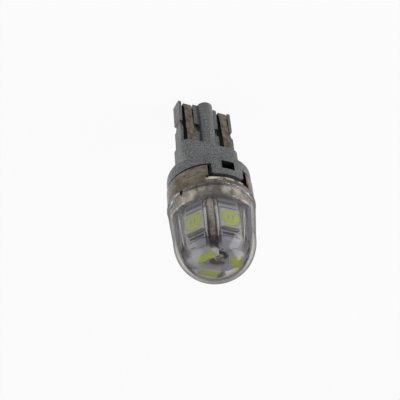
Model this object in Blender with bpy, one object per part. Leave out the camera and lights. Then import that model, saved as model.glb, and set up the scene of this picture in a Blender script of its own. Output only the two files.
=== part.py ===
"""Wedge base LED bulb, standing on the tip of its wedge: Z runs up along the bulb's axis, X across the
wedge and -Y out of its front face. Lengths are in metres."""

import math

import bmesh
import bpy

# Fits between pieces
SEAT = 0.00005
SLIDE = 0.0001
OVERLAP = 0.0006

# Wedge: two ears, a round column with a rail on each side, and a web between ear and rail
WEDGE_WIDTH = 0.0095
WEDGE_LENGTH = 0.0094
EAR_THICKNESS = 0.0021
EAR_WIDTH = 0.00053
RAIL_REACH = 0.00214
RAIL_THICKNESS = 0.0021
COLUMN_RADIUS = 0.00132
COLUMN_SETBACK = 0.00008
TIP_CHAMFER = 0.00014
WEB_THICKNESS = 0.0009
WEB_SETBACK = 0.0006

# Detent groove across the ears and rails
DETENT_START = 0.0044
DETENT_LENGTH = 0.0015
DETENT_EAR_DEPTH = 0.00032
DETENT_RAIL_DEPTH = 0.00055
DETENT_SIDE_DEPTH = 0.00017

# Contact strips
STRIP_INNER_GAP = 0.00038
STRIP_OUTER_GAP = 0.00037
STRIP_THICKNESS = 0.00025
STRIP_TIP_Y = 0.00102
STRIP_BOW_Y = 0.00165
STRIP_BOW_SETBACK = 0.0012
STRIP_BEND = 0.0003
STRIP_SLOT_GAP = 0.00012
STRIP_BACK_LENGTH = 0.0006

# Boss and shoulder
BOSS_MARGIN = 0.0002
BOSS_DEPTH = 0.0051
BOSS_CORNER = 0.0016
BOSS_HEIGHT = 0.0031
BOSS_EDGE = 0.00015
SHOULDER_HEIGHT = 0.0027
SHOULDER_HOLLOW = 1.65
SHOULDER_BULGE = 0.95
BODY_RADIUS = 0.0065
SKIRT_HEIGHT = 0.0017
SKIRT_WALL = 0.0009
BOSS_WALL = 0.0007
BOSS_ROOF = 0.0011

# Snap tabs on the skirt
TAB_ANGLE = math.radians(23.1)
TAB_LENGTH = 0.0019
TAB_THICKNESS = 0.00065
TAB_CORNER = 0.00045
WINDOW_WIDTH = 0.0021
WINDOW_HEIGHT = 0.00145
WINDOW_SETBACK = 0.0011

# Heat sink: spigot in the skirt, collar, neck under the dome, six-sided core
RING_GAP = 0.00025
COLLAR_PROUD = 0.0001
COLLAR_HEIGHT = 0.00335
COLLAR_EDGE = 0.00012
SPIGOT_LENGTH = 0.0013
SPIGOT_WALL = 0.001
RECESS_SIDE_GAP = 0.0006
RECESS_END_GAP = 0.00045
RELIEF_SIDE_GAP = 0.0009
RELIEF_HEIGHT = 0.00065
RELIEF_DEPTH = 0.0003
NECK_HEIGHT = 0.0019
NECK_EDGE = 0.0002
MOAT_DEPTH = 0.0005
MOAT_GAP = 0.00019
HEAT_SINK_FLOOR = 0.002
CORE_APOTHEM = 0.00395
CORE_HEIGHT = 0.00795
BORE_RADIUS = 0.0008

# LED module
SIDES = 6
SIDE_BOARD_WIDTH = 0.0035
SIDE_BOARD_THICKNESS = 0.0005
END_BOARD_THICKNESS = 0.0006
END_BOARD_CORNER = 0.00005
FOLD_SLOT_LENGTH = 0.0024
FOLD_SLOT_DEPTH = 0.0002
SIDE_LED_SIZE = 0.003
SIDE_LED_HEIGHT = 0.00065
SIDE_LED_FROM_END = 0.00275
SIDE_PHOSPHOR_RADIUS = 0.0014
END_LEDS = 3
END_LED_LENGTH = 0.0032
END_LED_DEPTH = 0.0019
END_LED_HEIGHT = 0.0011
END_LED_MARGIN = 0.00085
END_PHOSPHOR_LENGTH = 0.0029
END_PHOSPHOR_DEPTH = 0.0015
PHOSPHOR_THICKNESS = 0.0001
LED_EDGE = 0.00012
PIN_X = -0.00015
PIN_Y = -0.00045
PIN_RADIUS = 0.0004
SOLDER_RADIUS = 0.00095
SOLDER_HEIGHT = 0.00045

# Dome
DOME_PROUD = 0.0001
DOME_WALL = 0.00055
DOME_BEAD = 0.0004
DOME_SIDE_GAP = 0.00012
DOME_END_GAP = 0.0001
DOME_POWER = 2.14
DOME_PAST_LED = 0.00045
RIB_RADIUS = 0.00105
RIB_GAP = 0.0001
RIB_START_GAP = 0.0003
NOTCH_WIDTH = 0.0008
NOTCH_HEIGHT = 0.0009
NOTCH_ANGLE = math.radians(113.0)

# Driver board and its parts
BOARD_LEDGE = 0.0007
DRIVER_THICKNESS = 0.0008
DRIVER_MARGIN = 0.0003
PART_GAP = 0.00025
RECTIFIER_LENGTH = 0.0028
RECTIFIER_HEIGHT = 0.0013
CHIP_LENGTH = 0.0024
CHIP_HEIGHT = 0.0010
RESISTOR_LENGTH = 0.0016
RESISTOR_DEPTH = 0.0008
RESISTOR_HEIGHT = 0.0004
RESISTOR_GAP = 0.0015

# Facets
ROUND = 64
FINE = 32

# Levels along the axis
BOSS_Z = WEDGE_LENGTH
SHOULDER_Z = BOSS_Z + BOSS_HEIGHT
SKIRT_Z = SHOULDER_Z + SHOULDER_HEIGHT
SKIRT_END_Z = SKIRT_Z + SKIRT_HEIGHT
TAB_END_Z = SKIRT_END_Z + TAB_LENGTH
COLLAR_Z = SKIRT_END_Z + RING_GAP
COLLAR_TOP_Z = COLLAR_Z + COLLAR_HEIGHT
SPIGOT_Z = SKIRT_END_Z - SPIGOT_LENGTH
NECK_TOP_Z = COLLAR_TOP_Z + NECK_HEIGHT
MOAT_Z = COLLAR_TOP_Z - MOAT_DEPTH
FLOOR_Z = MOAT_Z - HEAT_SINK_FLOOR
CORE_TOP_Z = COLLAR_TOP_Z + CORE_HEIGHT
END_BOARD_Z = CORE_TOP_Z + SEAT
END_FACE_Z = END_BOARD_Z + END_BOARD_THICKNESS
END_LED_TOP_Z = END_FACE_Z + SEAT + END_LED_HEIGHT
SIDE_LED_Z = CORE_TOP_Z - SIDE_LED_FROM_END
DOME_Z = COLLAR_TOP_Z + SEAT
DOME_CAP_Z = SIDE_LED_Z + DOME_PAST_LED
DRIVER_TOP_Z = SPIGOT_Z - BOARD_LEDGE + SEAT + DRIVER_THICKNESS / 2
DRIVER_Z = DRIVER_TOP_Z - DRIVER_THICKNESS
LEDGE_Z = DRIVER_Z - SEAT
POCKET_Z = BOSS_Z + BOSS_ROOF

# Radii and reaches
COLUMN_OFFSET = BOSS_DEPTH / 2 - BOSS_EDGE - COLUMN_SETBACK - COLUMN_RADIUS
EAR_INNER = WEDGE_WIDTH / 2 - EAR_WIDTH
BOSS_WIDTH = WEDGE_WIDTH + 2 * BOSS_MARGIN
STRIP_WIDTH = EAR_INNER - RAIL_REACH - STRIP_INNER_GAP - STRIP_OUTER_GAP
STRIP_X = RAIL_REACH + STRIP_INNER_GAP + STRIP_WIDTH / 2
SOCKET_RADIUS = BODY_RADIUS - SKIRT_WALL
SPIGOT_RADIUS = SOCKET_RADIUS - SLIDE
HOLLOW_RADIUS = SPIGOT_RADIUS - SPIGOT_WALL
DRIVER_RADIUS = HOLLOW_RADIUS - DRIVER_MARGIN
LEDGE_RADIUS = DRIVER_RADIUS + SLIDE
COLLAR_RADIUS = BODY_RADIUS + COLLAR_PROUD
TAB_HALF_WIDTH = BODY_RADIUS * math.sin(TAB_ANGLE)
RECESS_RADIUS = BODY_RADIUS - TAB_THICKNESS - SEAT
BOARD_FACE = CORE_APOTHEM + SEAT + SIDE_BOARD_THICKNESS
LED_FACE = BOARD_FACE + SEAT + SIDE_LED_HEIGHT
BOARD_REACH = math.hypot(BOARD_FACE, SIDE_BOARD_WIDTH / 2)
LED_REACH = math.hypot(LED_FACE, SIDE_LED_SIZE / 2)
END_BOARD_REACH = BOARD_FACE + END_BOARD_CORNER
MOAT_RADIUS = BOARD_REACH + MOAT_GAP
END_LED_CENTRE = BOARD_FACE - END_LED_MARGIN - END_LED_DEPTH / 2
END_LED_REACH = math.hypot(END_LED_CENTRE + END_LED_DEPTH / 2, END_LED_LENGTH / 2)
DOME_RIM_RADIUS = COLLAR_RADIUS + DOME_PROUD
DOME_CAP_RADIUS = LED_REACH + DOME_SIDE_GAP + DOME_WALL
RIB_CENTRE = END_BOARD_REACH + RIB_GAP + RIB_RADIUS
POCKET_X = BOSS_WIDTH / 2 - BOSS_WALL
POCKET_Y = BOSS_DEPTH / 2 - BOSS_WALL
STRIP_TAIL_Y = POCKET_Y - STRIP_THICKNESS - STRIP_SLOT_GAP
PART_DEPTH = 2 * (STRIP_TAIL_Y - STRIP_THICKNESS / 2 - PART_GAP)


def finish_of(name, colour, roughness, metallic, alpha=1.0):
    """A plain material for one kind of piece."""
    material = bpy.data.materials.new(name)
    material.use_nodes = True
    shader = material.node_tree.nodes["Principled BSDF"]
    shader.inputs["Base Color"].default_value = (*colour, 1.0)
    shader.inputs["Roughness"].default_value = roughness
    shader.inputs["Metallic"].default_value = metallic
    shader.inputs["Alpha"].default_value = alpha
    return material


def solid(name, mesh, finish=None):
    """An object with the faces of the bmesh turned outwards and its round faces smooth."""
    bmesh.ops.recalc_face_normals(mesh, faces=mesh.faces)
    data = bpy.data.meshes.new(name)
    mesh.to_mesh(data)
    mesh.free()
    made = bpy.data.objects.new(name, data)
    bpy.context.scene.collection.objects.link(made)
    if finish is not None:
        data.materials.append(finish)
    data.shade_smooth()
    data.set_sharp_from_angle(angle=math.radians(35))
    return made


def helper(name, mesh):
    """A solid that only shapes another one."""
    made = solid(name, mesh)
    made.hide_render = True
    made.display_type = "WIRE"
    return made


def boolean(target, operation, tool):
    modifier = target.modifiers.new(f"{operation.lower()} {tool.name}", "BOOLEAN")
    modifier.operation = operation
    modifier.object = tool


def add_loft(mesh, rings):
    """Closed body through rings of equally many points; a ring of one point is a tip."""
    rows = [[mesh.verts.new(point) for point in ring] for ring in rings]
    for lower, upper in zip(rows, rows[1:]):
        count = max(len(lower), len(upper))
        for i in range(count):
            j = (i + 1) % count
            corners = [lower[i % len(lower)], lower[j % len(lower)]]
            corners += [upper[j % len(upper)], upper[i % len(upper)]]
            mesh.faces.new(list(dict.fromkeys(corners)))
    for row in (rows[0], rows[-1]):
        if len(row) > 2:
            mesh.faces.new(row)
    return mesh


def loft(rings):
    return add_loft(bmesh.new(), rings)


def turned(profile, segments=ROUND):
    """Body turned round Z from (radius, z) points, from one end on the axis to the other."""
    rings = []
    for radius, z in profile:
        if radius == 0:
            rings.append([(0.0, 0.0, z)])
        else:
            rings.append([polar(radius, math.tau * i / segments, z) for i in range(segments)])
    return loft(rings)


def beside_axis(profile, segments):
    """Body turned round the feed pin's own axis."""
    mesh = turned(profile, segments)
    bmesh.ops.translate(mesh, verts=mesh.verts, vec=(PIN_X, PIN_Y, 0))
    return mesh


def polar(radius, azimuth, z):
    """Point at an azimuth counted from +Y towards +X."""
    return (radius * math.sin(azimuth), radius * math.cos(azimuth), z)


def add_prism(mesh, outline, low, high, place=lambda u, v, w: (u, v, w)):
    """Closed body from an outline in (u, v), drawn out in w from low to high."""
    rings = [[place(u, v, w) for u, v in outline] for w in (low, high)]
    return add_loft(mesh, rings)


def along_x(u, v, w):
    return (w, u, v)


def along_y(u, v, w):
    return (u, w, v)


def rectangle(x_low, x_high, y_low, y_high):
    return [(x_low, y_low), (x_high, y_low), (x_high, y_high), (x_low, y_high)]


def box_of(x_range, y_range, z_range):
    return add_prism(bmesh.new(), rectangle(*x_range, *y_range), *z_range)


def chamfered_ends(outline, low, high, chamfer):
    """Prism with its edges at the low end broken by a chamfer."""
    rings = [
        [(x, y, low) for x, y in inset(outline, chamfer)],
        [(x, y, low + chamfer) for x, y in outline],
        [(x, y, high) for x, y in outline],
    ]
    return loft(rings)


def inset(outline, distance):
    """The outline, which runs anticlockwise, moved inwards by a distance."""
    moved = []
    for i, (x, y) in enumerate(outline):
        before, after = outline[i - 1], outline[(i + 1) % len(outline)]
        ax, ay = unit(x - before[0], y - before[1])
        bx, by = unit(after[0] - x, after[1] - y)
        nx, ny = unit(-ay - by, ax + bx)
        reach = distance / max(0.3, -ay * nx + ax * ny)
        moved.append((x + nx * reach, y + ny * reach))
    return moved


def unit(x, y):
    length = math.hypot(x, y)
    return x / length, y / length


def arc(centre, radius, start, end, steps):
    """Points on an arc; angles run anticlockwise from +X."""
    turn = (end - start) / steps
    angles = [start + turn * i for i in range(steps + 1)]
    return [(centre[0] + radius * math.cos(a), centre[1] + radius * math.sin(a)) for a in angles]


def rounded_rectangle_radius(azimuth, half_x, half_y, corner):
    """Distance from the middle of a rounded rectangle to its edge."""
    dx, dy = abs(math.sin(azimuth)), abs(math.cos(azimuth))
    centre_x, centre_y = half_x - corner, half_y - corner
    if dx > 0 and half_x / dx * dy <= centre_y:
        return half_x / dx
    if dy > 0 and half_y / dy * dx <= centre_x:
        return half_y / dy
    along = dx * centre_x + dy * centre_y
    return along + math.sqrt(along**2 - centre_x**2 - centre_y**2 + corner**2)


def body_azimuths():
    """Azimuths of the body's facets, closest together round the corners of the boss."""
    first = math.atan2(BOSS_WIDTH / 2 - BOSS_CORNER, BOSS_DEPTH / 2)
    last = math.atan2(BOSS_WIDTH / 2, BOSS_DEPTH / 2 - BOSS_CORNER)
    wide_face, corner = (-first, first, 18), (first, last, 8)
    narrow_face, far_corner = (last, math.pi - last, 3), (math.pi - last, math.pi - first, 8)
    stops = (wide_face, corner, narrow_face, far_corner)
    half = [start + (end - start) * i / steps for start, end, steps in stops for i in range(steps)]
    return half + [math.pi + azimuth for azimuth in half]


def body_ring(z, rise, shrink=0.0):
    """Section of the body: the boss's rounded oblong at rise 0, the round skirt at rise 1. The shoulder
    between them leaves the boss in a hollow curve and rounds over at the sides."""
    ring = []
    for azimuth in body_azimuths():
        start = rounded_rectangle_radius(azimuth, BOSS_WIDTH / 2, BOSS_DEPTH / 2, BOSS_CORNER) - shrink
        power = 1 + SHOULDER_BULGE * abs(math.sin(azimuth)) ** 3
        share = 1 - (1 - rise**SHOULDER_HOLLOW) ** power
        ring.append(polar(start + (BODY_RADIUS - start) * share, azimuth, z))
    return ring


def body():
    steps = 8
    rings = [body_ring(BOSS_Z, 0, BOSS_EDGE), body_ring(BOSS_Z + BOSS_EDGE, 0)]
    rings += [body_ring(SHOULDER_Z + SHOULDER_HEIGHT * i / steps, i / steps) for i in range(steps + 1)]
    rings.append(body_ring(TAB_END_Z, 1))
    return loft(rings)


def column_outline():
    """Column with a half-round front and back, and a rail on each side."""
    half_rail = RAIL_THICKNESS / 2
    foot = math.asin((half_rail - COLUMN_OFFSET) / COLUMN_RADIUS)
    front = arc((0, COLUMN_OFFSET), COLUMN_RADIUS, foot, math.pi - foot, 16)
    front = [(RAIL_REACH, half_rail), *front, (-RAIL_REACH, half_rail)]
    return front + [(-x, -y) for x, y in front]


def base_housing(paint):
    housing = solid("base_housing", body(), paint)
    root = BOSS_Z + OVERLAP
    column = helper("column", chamfered_ends(column_outline(), 0, root, TIP_CHAMFER))
    boolean(housing, "UNION", column)
    for side, name in ((-1, "left"), (1, "right")):
        x_range = sorted((side * EAR_INNER, side * WEDGE_WIDTH / 2))
        outline = rectangle(*x_range, -EAR_THICKNESS / 2, EAR_THICKNESS / 2)
        boolean(housing, "UNION", helper(f"ear_{name}", chamfered_ends(outline, 0, root, TIP_CHAMFER)))
        lap = EAR_WIDTH / 3
        x_range = sorted((side * (RAIL_REACH - lap), side * (EAR_INNER + lap)))
        web = box_of(x_range, (-WEB_THICKNESS / 2, WEB_THICKNESS / 2), (WEB_SETBACK, root))
        boolean(housing, "UNION", helper(f"web_{name}", web))
    boolean(housing, "DIFFERENCE", beside_tabs())
    boolean(housing, "DIFFERENCE", helper("detent_grooves", detent_grooves()))
    boolean(housing, "DIFFERENCE", helper("side_notches", side_notches()))
    boolean(housing, "DIFFERENCE", helper("parts_pocket", parts_pocket()))
    boolean(housing, "DIFFERENCE", helper("spigot_socket", spigot_socket()))
    boolean(housing, "DIFFERENCE", helper("strip_slots", strip_slots()))
    boolean(housing, "DIFFERENCE", helper("tab_windows", tab_windows(0.0)))
    return housing


def beside_tabs():
    """All that lies above the skirt's edge, save two tabs with rounded corners."""
    reach, low, high = TAB_HALF_WIDTH, SKIRT_Z, TAB_END_Z + OVERLAP
    around = [(0, SKIRT_END_Z), (2 * BODY_RADIUS, SKIRT_END_Z), (2 * BODY_RADIUS, high), (0, high)]
    waste = helper("beside_tabs", turned(around, FINE))
    outline = [
        (-reach, low),
        (reach, low),
        *arc((reach - TAB_CORNER, TAB_END_Z - TAB_CORNER), TAB_CORNER, 0, math.pi / 2, 5),
        *arc((TAB_CORNER - reach, TAB_END_Z - TAB_CORNER), TAB_CORNER, math.pi / 2, math.pi, 5),
    ]
    blank = add_prism(bmesh.new(), outline, -3 * BODY_RADIUS, 3 * BODY_RADIUS, along_y)
    boolean(waste, "DIFFERENCE", helper("tab_outline", blank))
    return waste


def tube(inner, outer, low, high):
    """Ring of square section."""
    mesh = bmesh.new()
    section = [(inner, low), (outer, low), (outer, high), (inner, high)]
    rows = [[mesh.verts.new(polar(r, math.tau * i / ROUND, z)) for r, z in section] for i in range(ROUND)]
    for i, row in enumerate(rows):
        beyond = rows[(i + 1) % ROUND]
        for j in range(4):
            k = (j + 1) % 4
            mesh.faces.new((row[j], row[k], beyond[k], beyond[j]))
    return mesh


def detent_grooves():
    """Ramped grooves on both faces: shallow across the ears, deep across the rails."""
    mesh = bmesh.new()
    end = DETENT_START + DETENT_LENGTH
    floor_end = DETENT_START + DETENT_LENGTH / 3
    lap = EAR_WIDTH / 4
    cuts = (
        (EAR_INNER - lap, WEDGE_WIDTH / 2 + lap, EAR_THICKNESS / 2, DETENT_EAR_DEPTH, floor_end),
        (COLUMN_RADIUS - lap / 2, RAIL_REACH + lap, RAIL_THICKNESS / 2, DETENT_RAIL_DEPTH, end),
    )
    for near, far, surface, depth, floor in cuts:
        for face in (-1, 1):
            outline = [
                (face * (surface + lap), DETENT_START),
                (face * (surface - depth), DETENT_START),
                (face * (surface - depth), floor),
                (face * (surface + lap), end + lap),
            ]
            for side in (-1, 1):
                add_prism(mesh, outline, *sorted((side * near, side * far)), along_x)
    return mesh


def side_notches():
    mesh = bmesh.new()
    floor = WEDGE_WIDTH / 2 - DETENT_SIDE_DEPTH
    beyond = WEDGE_WIDTH / 2 + DETENT_SIDE_DEPTH
    slope = DETENT_SIDE_DEPTH
    for side in (-1, 1):
        outline = [
            (side * beyond, DETENT_START - 2 * slope),
            (side * floor, DETENT_START),
            (side * floor, DETENT_START + DETENT_LENGTH - slope),
            (side * beyond, DETENT_START + DETENT_LENGTH + slope),
        ]
        add_prism(mesh, outline, -EAR_THICKNESS, EAR_THICKNESS, along_y)
    return mesh


def parts_pocket():
    """Oblong hollow in the boss for the parts under the driver board."""
    corner = BOSS_CORNER / 2
    half_x, half_y = POCKET_X - corner, POCKET_Y - corner
    outline = []
    for i, (x, y) in enumerate(((half_x, half_y), (-half_x, half_y), (-half_x, -half_y), (half_x, -half_y))):
        outline += arc((x, y), corner, math.pi / 2 * i, math.pi / 2 * (i + 1), 4)
    return add_prism(bmesh.new(), outline, POCKET_Z, LEDGE_Z + OVERLAP)


def spigot_socket():
    """Stepped round hollow: the driver board's seat, then the socket of the heat sink."""
    return turned(
        [
            (0, LEDGE_Z),
            (LEDGE_RADIUS, LEDGE_Z),
            (LEDGE_RADIUS, SPIGOT_Z - SEAT),
            (SOCKET_RADIUS, SPIGOT_Z - SEAT),
            (SOCKET_RADIUS, SKIRT_END_Z - OVERLAP),
            (BODY_RADIUS - TAB_THICKNESS, SKIRT_END_Z - OVERLAP / 2),
            (BODY_RADIUS - TAB_THICKNESS, TAB_END_Z + OVERLAP),
            (0, TAB_END_Z + OVERLAP),
        ]
    )


def strip_slots():
    """Four slots through the boss's roof, where the contact strips pass."""
    mesh = bmesh.new()
    half = STRIP_WIDTH / 2 + STRIP_SLOT_GAP
    inner = STRIP_TAIL_Y - STRIP_THICKNESS / 2 - STRIP_SLOT_GAP
    outer = STRIP_TAIL_Y + STRIP_THICKNESS / 2 + STRIP_SLOT_GAP
    for side in (-1, 1):
        for face in (-1, 1):
            x_range = (side * STRIP_X - half, side * STRIP_X + half)
            y_range = sorted((face * inner, face * outer))
            add_prism(mesh, rectangle(*x_range, *y_range), BOSS_Z - OVERLAP, POCKET_Z + OVERLAP)
    return mesh


def tab_windows(margin):
    """Openings in the middle of each tab."""
    middle = TAB_END_Z - WINDOW_SETBACK - WINDOW_HEIGHT / 2
    half_x, half_z = WINDOW_WIDTH / 2 + margin, WINDOW_HEIGHT / 2 + margin
    outline = rectangle(-half_x, half_x, middle - half_z, middle + half_z)
    mesh = bmesh.new()
    for face in (-1, 1):
        y_range = sorted((face * (HOLLOW_RADIUS - OVERLAP), face * (BODY_RADIUS + OVERLAP)))
        add_prism(mesh, outline, *y_range, along_y)
    return mesh


def thick_path(path, thickness):
    """Outline of a strip of even thickness along a path."""
    left, right = [], []
    for i, (u, v) in enumerate(path):
        before, after = path[max(i - 1, 0)], path[min(i + 1, len(path) - 1)]
        ends = [unit(u - before[0], v - before[1])] if i > 0 else []
        ends += [unit(after[0] - u, after[1] - v)] if i < len(path) - 1 else []
        du, dv = unit(sum(e[0] for e in ends), sum(e[1] for e in ends))
        reach = thickness / 2 / (du * ends[0][0] + dv * ends[0][1])
        left.append((u - dv * reach, v + du * reach))
        right.append((u + dv * reach, v - du * reach))
    return left + right[::-1]


def contact_strip(name, side, plating):
    """Strip from the driver board through the boss, bowed along the front, folded over the web's tip and
    down the back into the boss."""
    fold_z = WEB_SETBACK - SEAT - STRIP_THICKNESS / 2
    bow_z = BOSS_Z - STRIP_BOW_SETBACK
    corner = (STRIP_TIP_Y - STRIP_BEND, fold_z + STRIP_BEND)
    front = [
        (STRIP_TAIL_Y, POCKET_Z),
        (STRIP_TAIL_Y, BOSS_Z - OVERLAP / 6),
        (STRIP_BOW_Y, bow_z),
        *arc(corner, STRIP_BEND, 0, -math.pi / 2, 4),
    ]
    back = [(-y, z) for y, z in front[::-1]]
    back[-1] = (-STRIP_TAIL_Y, BOSS_Z + STRIP_BACK_LENGTH)
    tail = (STRIP_TAIL_Y, DRIVER_Z - SEAT)
    outline = thick_path([tail, *front, *back], STRIP_THICKNESS)
    x_range = (side * STRIP_X - STRIP_WIDTH / 2, side * STRIP_X + STRIP_WIDTH / 2)
    return solid(name, add_prism(bmesh.new(), outline, *x_range, along_x), plating)


def heat_sink(metal):
    turned_body = turned(
        [
            (0, FLOOR_Z),
            (HOLLOW_RADIUS, FLOOR_Z),
            (HOLLOW_RADIUS, SPIGOT_Z),
            (SPIGOT_RADIUS, SPIGOT_Z),
            (SPIGOT_RADIUS, COLLAR_Z),
            (COLLAR_RADIUS - COLLAR_EDGE, COLLAR_Z),
            (COLLAR_RADIUS, COLLAR_Z + COLLAR_EDGE),
            (COLLAR_RADIUS, COLLAR_TOP_Z),
            (neck_radius(), COLLAR_TOP_Z),
            (neck_radius(), NECK_TOP_Z - NECK_EDGE),
            (neck_radius() - NECK_EDGE, NECK_TOP_Z),
            (MOAT_RADIUS, NECK_TOP_Z),
            (MOAT_RADIUS, MOAT_Z),
            (0, MOAT_Z),
        ]
    )
    sink = solid("heat_sink", turned_body, metal)
    core = hexagon(CORE_APOTHEM)
    boolean(sink, "UNION", helper("core", add_prism(bmesh.new(), core, MOAT_Z - OVERLAP, CORE_TOP_Z)))
    section = [(0, SPIGOT_Z), (BORE_RADIUS, SPIGOT_Z), (BORE_RADIUS, END_FACE_Z), (0, END_FACE_Z)]
    bore = beside_axis(section, FINE)
    boolean(sink, "DIFFERENCE", helper("core_bore", bore))
    recess_end = TAB_END_Z + RECESS_END_GAP
    width = TAB_HALF_WIDTH + RECESS_SIDE_GAP
    recess = collar_pocket("tab_recess", RECESS_RADIUS, width, COLLAR_Z - RING_GAP / 2, recess_end)
    boolean(sink, "DIFFERENCE", recess)
    width = TAB_HALF_WIDTH + RELIEF_SIDE_GAP
    floor = COLLAR_RADIUS - RELIEF_DEPTH
    relief = collar_pocket("tab_relief", floor, width, recess_end - SEAT, recess_end + RELIEF_HEIGHT)
    boolean(sink, "DIFFERENCE", relief)
    boolean(sink, "DIFFERENCE", helper("window_pockets", tab_windows(SLIDE)))
    return sink


def collar_pocket(name, floor, half_width, low, high):
    """Cutter for a pocket in the front and back of the collar, down to a floor radius."""
    pocket = helper(name, tube(floor, COLLAR_RADIUS + OVERLAP, low, high))
    y_range = (-2 * BODY_RADIUS, 2 * BODY_RADIUS)
    width = box_of((-half_width, half_width), y_range, (low - OVERLAP, high + OVERLAP))
    boolean(pocket, "INTERSECT", helper(f"{name}_width", width))
    return pocket


def hexagon(apothem):
    reach = apothem / math.cos(math.pi / SIDES)
    corners = [polar(reach, math.tau * (i + 0.5) / SIDES, 0) for i in range(SIDES)]
    return [(x, y) for x, y, _ in corners]


def dome_radius(z, inwards):
    """Radius of the dome's outer surface at z, or of a surface that lies inwards of it."""
    if z <= DOME_CAP_Z:
        share = (z - DOME_Z) / (DOME_CAP_Z - DOME_Z)
        return DOME_RIM_RADIUS + (DOME_CAP_RADIUS - DOME_RIM_RADIUS) * share - inwards
    height = cap_height() + DOME_WALL - inwards
    share = min(1, (z - DOME_CAP_Z) / height)
    return (DOME_CAP_RADIUS - inwards) * (1 - share**DOME_POWER) ** (1 / DOME_POWER)


def cap_height():
    """Height of the hollow end, so that it clears the corners of the end LEDs."""
    share = (END_LED_REACH + DOME_END_GAP) / (DOME_CAP_RADIUS - DOME_WALL)
    return (END_LED_TOP_Z - DOME_CAP_Z) / (1 - share**DOME_POWER) ** (1 / DOME_POWER)


def neck_radius():
    return dome_radius(NECK_TOP_Z, DOME_WALL) - SLIDE


def dome_profile(start_z, inwards, steps):
    """Points from the axis at start_z, up the side and round the end."""
    height = cap_height() + DOME_WALL - inwards
    rim = dome_radius(DOME_Z, inwards)
    points = [(0, start_z), (rim, start_z)]
    if inwards == 0:
        bead_end = DOME_Z + DOME_BEAD
        points += [(rim, DOME_Z + DOME_BEAD / 2), (dome_radius(bead_end, DOME_PROUD), bead_end)]
    points.append((dome_radius(DOME_CAP_Z, inwards), DOME_CAP_Z))
    for i in range(1, steps):
        z = DOME_CAP_Z + height * math.sin(math.pi / 2 * i / steps)
        points.append((dome_radius(z, inwards), z))
    return [*points, (0, DOME_CAP_Z + height)]


def dome_cap(clear):
    """Clear cap: its hollow is cut by the inner form less six round ribs."""
    dome = solid("dome_cap", turned(dome_profile(DOME_Z, 0, 12)), clear)
    boolean(dome, "DIFFERENCE", helper("rim_notch", rim_notch()))
    hollow = helper("dome_hollow", turned(dome_profile(DOME_Z - OVERLAP, DOME_WALL, 11)))
    boolean(hollow, "DIFFERENCE", helper("dome_ribs", dome_ribs()))
    boolean(dome, "DIFFERENCE", hollow)
    return dome


def dome_ribs():
    """Round-ended bars at the corners of the module, from above the neck to past the end board."""
    mesh = bmesh.new()
    low, high = NECK_TOP_Z + RIB_START_GAP + RIB_RADIUS, END_FACE_Z + RIB_RADIUS
    segments, steps = 16, 4
    levels = [(RIB_RADIUS * math.cos(a), low - RIB_RADIUS * math.sin(a)) for a in quarter(steps)][::-1]
    levels += [(RIB_RADIUS * math.cos(a), high + RIB_RADIUS * math.sin(a)) for a in quarter(steps)]
    for i in range(SIDES):
        x, y, _ = polar(RIB_CENTRE, math.tau * (i + 0.5) / SIDES, 0)
        rings = [[(x, y, low - RIB_RADIUS)]]
        for radius, z in levels:
            ring = [polar(radius, math.tau * j / segments, z) for j in range(segments)]
            rings.append([(x + px, y + py, pz) for px, py, pz in ring])
        rings.append([(x, y, high + RIB_RADIUS)])
        add_loft(mesh, rings)
    return mesh


def quarter(steps):
    return [math.pi / 2 * i / steps for i in range(steps)]


def rim_notch():
    """Small notch in the rim, at one azimuth."""
    outline = [
        (-NOTCH_WIDTH / 2, DOME_Z - OVERLAP),
        (NOTCH_WIDTH / 2, DOME_Z - OVERLAP),
        (NOTCH_WIDTH / 3, DOME_Z + NOTCH_HEIGHT),
    ]

    def place(u, v, w):
        x, y, _ = polar(w, NOTCH_ANGLE, 0)
        return (x + u * math.cos(NOTCH_ANGLE), y - u * math.sin(NOTCH_ANGLE), v)

    return add_prism(bmesh.new(), outline, DOME_CAP_RADIUS / 2, 2 * DOME_CAP_RADIUS, place)


def facing(azimuth):
    """Placement for pieces drawn flat: u runs sideways, v up the axis and w outwards."""

    def place(u, v, w):
        x, y, _ = polar(w, azimuth, 0)
        return (x + u * math.cos(azimuth), y - u * math.sin(azimuth), v)

    return place


def side_board(name, azimuth, white):
    """Board on one side of the core; its upper edge has a shallow slot under the end board."""
    half, slot = SIDE_BOARD_WIDTH / 2, FOLD_SLOT_LENGTH / 2
    outline = [
        (-half, MOAT_Z + SEAT),
        (half, MOAT_Z + SEAT),
        (half, CORE_TOP_Z),
        (slot, CORE_TOP_Z),
        (slot, CORE_TOP_Z - FOLD_SLOT_DEPTH),
        (-slot, CORE_TOP_Z - FOLD_SLOT_DEPTH),
        (-slot, CORE_TOP_Z),
        (-half, CORE_TOP_Z),
    ]
    mesh = add_prism(bmesh.new(), outline, CORE_APOTHEM + SEAT, BOARD_FACE, facing(azimuth))
    return solid(name, mesh, white)


def end_board(white):
    """Six-sided board with clipped corners and a hole for the pin."""
    clip = math.acos(BOARD_FACE / END_BOARD_REACH)
    outline = []
    for i in range(SIDES):
        start = math.tau * i / SIDES + clip
        sweep = math.tau / SIDES - 2 * clip
        outline += [polar(END_BOARD_REACH, start + sweep * j / 3, 0)[:2] for j in range(4)]
    board = solid("end_board", add_prism(bmesh.new(), outline, END_BOARD_Z, END_FACE_Z), white)
    radius = PIN_RADIUS + SEAT
    low, high = CORE_TOP_Z - OVERLAP, END_LED_TOP_Z
    hole = beside_axis([(0, low), (radius, low), (radius, high), (0, high)], FINE)
    boolean(board, "DIFFERENCE", helper("pin_hole", hole))
    return board


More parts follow.
